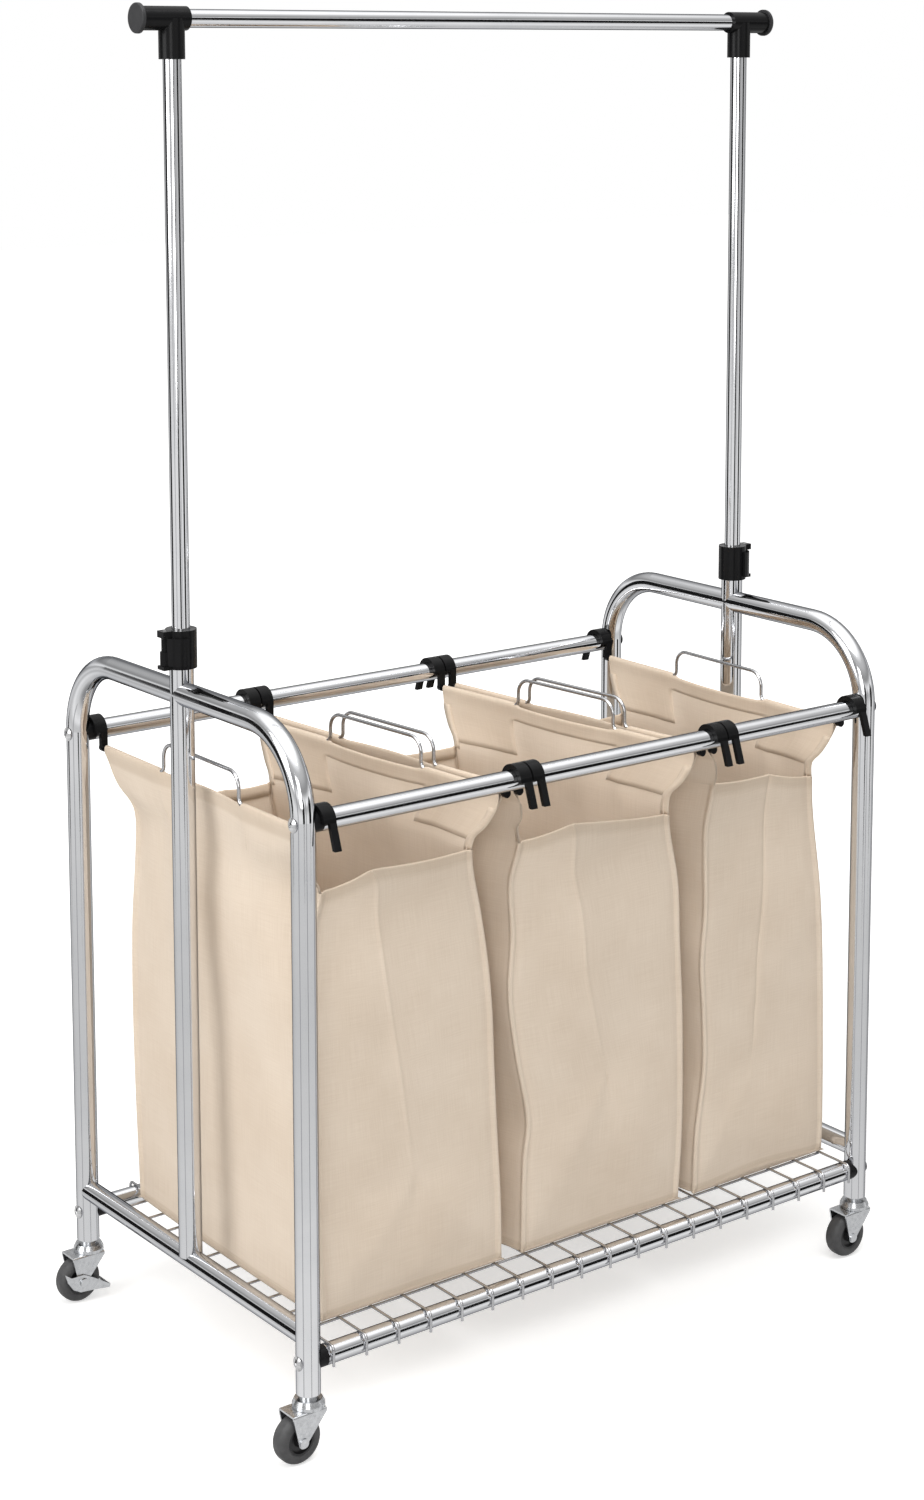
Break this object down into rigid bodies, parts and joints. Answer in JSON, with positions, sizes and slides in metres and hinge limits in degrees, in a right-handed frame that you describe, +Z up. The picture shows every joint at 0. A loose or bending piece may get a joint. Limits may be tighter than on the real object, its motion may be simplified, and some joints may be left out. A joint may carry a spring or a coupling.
{
  "type": "laundry sorter on wheels",
  "caption": "Wheeled chrome tube frame with hanging laundry bags, a wire bottom shelf, swivel casters and a height-adjustable clothes bar.",
  "frame": {"origin": "on the floor under the middle of the frame", "axes": "+Z up, +X along the length, +Y to the rear"},
  "size_m": [0.864, 0.502, 1.4635],
  "materials": {
    "chrome_tube": "polished chrome plate",
    "bright_wire": "bright plated wire",
    "bolt_steel": "bright zinc plated",
    "black_plastic": "fine moulded satin",
    "zinc_sheet": "bright zinc plated pressed sheet",
    "black_hub": "moulded",
    "grey_tyre": "smooth dark grey",
    "canvas": "natural cotton canvas, hemmed"
  },
  "bodies": {
    "frame": {"leg_front_left": "chrome_tube", "leg_rear_left": "chrome_tube", "leg_front_right": "chrome_tube", "leg_rear_right": "chrome_tube", "post_left": "chrome_tube", "post_right": "chrome_tube", "cross_tube_left": "chrome_tube", "cross_tube_right": "chrome_tube", "lower_rail_front": "chrome_tube", "lower_rail_rear": "chrome_tube", "upper_rail_front": "chrome_tube", "upper_rail_rear": "chrome_tube", "rail_spacers": "black_plastic", "rail_bolts": "bolt_steel", "rail_nuts": "bolt_steel", "wire_shelf": "bright_wire", "clamp_collar_left": "black_plastic", "clamp_collar_right": "black_plastic", "collar_bushes": "black_plastic", "lever_pins": "bolt_steel", "leg_inserts": "black_plastic", "caster_stems": "zinc_sheet"},
    "rack": {"rack_tube_left": "chrome_tube", "rack_tube_right": "chrome_tube", "hanging_bar": "chrome_tube", "rack_tee_left": "black_plastic", "rack_tee_right": "black_plastic", "bar_end_caps": "black_plastic", "guide_bushes": "black_plastic"},
    "lever_left": {"clamp_lever_left": "black_plastic"},
    "lever_right": {"clamp_lever_right": "black_plastic"},
    "bag_left_set": {"bag_left": "canvas", "bag_rods_left": "bright_wire", "bag_hooks_left": "black_plastic"},
    "bag_middle_set": {"bag_middle": "canvas", "bag_rods_middle": "bright_wire", "bag_hooks_middle": "black_plastic"},
    "bag_right_set": {"bag_right": "canvas", "bag_rods_right": "bright_wire", "bag_hooks_right": "black_plastic"},
    "swivel_front_left": {"fork_front_left": "zinc_sheet", "axle_front_left": "zinc_sheet"},
    "wheel_front_left": {"hub_front_left": "black_hub", "tyre_front_left": "grey_tyre"},
    "swivel_rear_left": {"fork_rear_left": "zinc_sheet", "axle_rear_left": "zinc_sheet"},
    "wheel_rear_left": {"hub_rear_left": "black_hub", "tyre_rear_left": "grey_tyre"},
    "brake_left": {"brake_lever_rear_left": "zinc_sheet"},
    "swivel_front_right": {"fork_front_right": "zinc_sheet", "axle_front_right": "zinc_sheet"},
    "wheel_front_right": {"hub_front_right": "black_hub", "tyre_front_right": "grey_tyre"},
    "swivel_rear_right": {"fork_rear_right": "zinc_sheet", "axle_rear_right": "zinc_sheet"},
    "wheel_rear_right": {"hub_rear_right": "black_hub", "tyre_rear_right": "grey_tyre"},
    "brake_right": {"brake_lever_rear_right": "zinc_sheet"}
  },
  "joints": [
    {"name": "rack_slide", "type": "slide", "parent": "frame", "child": "rack", "axis": [0, 0, 1], "range_m": [-0.312, 0]},
    {"name": "lever_left_hinge", "type": "hinge", "parent": "frame", "child": "lever_left", "pos_m": [-0.41, 0, 0.8], "axis": [0, 0, -1], "range_deg": [0, 100]},
    {"name": "lever_right_hinge", "type": "hinge", "parent": "frame", "child": "lever_right", "pos_m": [0.41, 0, 0.8], "axis": [0, 0, 1], "range_deg": [0, 100]},
    {"name": "bag_left_lift", "type": "slide", "parent": "frame", "child": "bag_left_set", "axis": [0, 0, 1], "range_m": [0, 0.38]},
    {"name": "bag_middle_lift", "type": "slide", "parent": "frame", "child": "bag_middle_set", "axis": [0, 0, 1], "range_m": [0, 0.38]},
    {"name": "bag_right_lift", "type": "slide", "parent": "frame", "child": "bag_right_set", "axis": [0, 0, 1], "range_m": [0, 0.38]},
    {"name": "swivel_front_left_turn", "type": "hinge", "parent": "frame", "child": "swivel_front_left", "pos_m": [-0.39, -0.225, 0.055], "axis": [0, 0, 1], "continuous": true},
    {"name": "wheel_front_left_roll", "type": "hinge", "parent": "swivel_front_left", "child": "wheel_front_left", "pos_m": [-0.405, -0.225, 0.0254], "axis": [0, 1, 0], "continuous": true},
    {"name": "swivel_rear_left_turn", "type": "hinge", "parent": "frame", "child": "swivel_rear_left", "pos_m": [-0.39, 0.225, 0.055], "axis": [0, 0, 1], "continuous": true},
    {"name": "wheel_rear_left_roll", "type": "hinge", "parent": "swivel_rear_left", "child": "wheel_rear_left", "pos_m": [-0.405, 0.225, 0.0254], "axis": [0, 1, 0], "continuous": true},
    {"name": "brake_left_press", "type": "hinge", "parent": "swivel_rear_left", "child": "brake_left", "pos_m": [-0.405, 0.225, 0.0254], "axis": [0, 1, 0], "range_deg": [-25, 0]},
    {"name": "swivel_front_right_turn", "type": "hinge", "parent": "frame", "child": "swivel_front_right", "pos_m": [0.39, -0.225, 0.055], "axis": [0, 0, 1], "continuous": true},
    {"name": "wheel_front_right_roll", "type": "hinge", "parent": "swivel_front_right", "child": "wheel_front_right", "pos_m": [0.375, -0.225, 0.0254], "axis": [0, 1, 0], "continuous": true},
    {"name": "swivel_rear_right_turn", "type": "hinge", "parent": "frame", "child": "swivel_rear_right", "pos_m": [0.39, 0.225, 0.055], "axis": [0, 0, 1], "continuous": true},
    {"name": "wheel_rear_right_roll", "type": "hinge", "parent": "swivel_rear_right", "child": "wheel_rear_right", "pos_m": [0.375, 0.225, 0.0254], "axis": [0, 1, 0], "continuous": true},
    {"name": "brake_right_press", "type": "hinge", "parent": "swivel_rear_right", "child": "brake_right", "pos_m": [0.375, 0.225, 0.0254], "axis": [0, 1, 0], "range_deg": [-25, 0]}
  ]
}
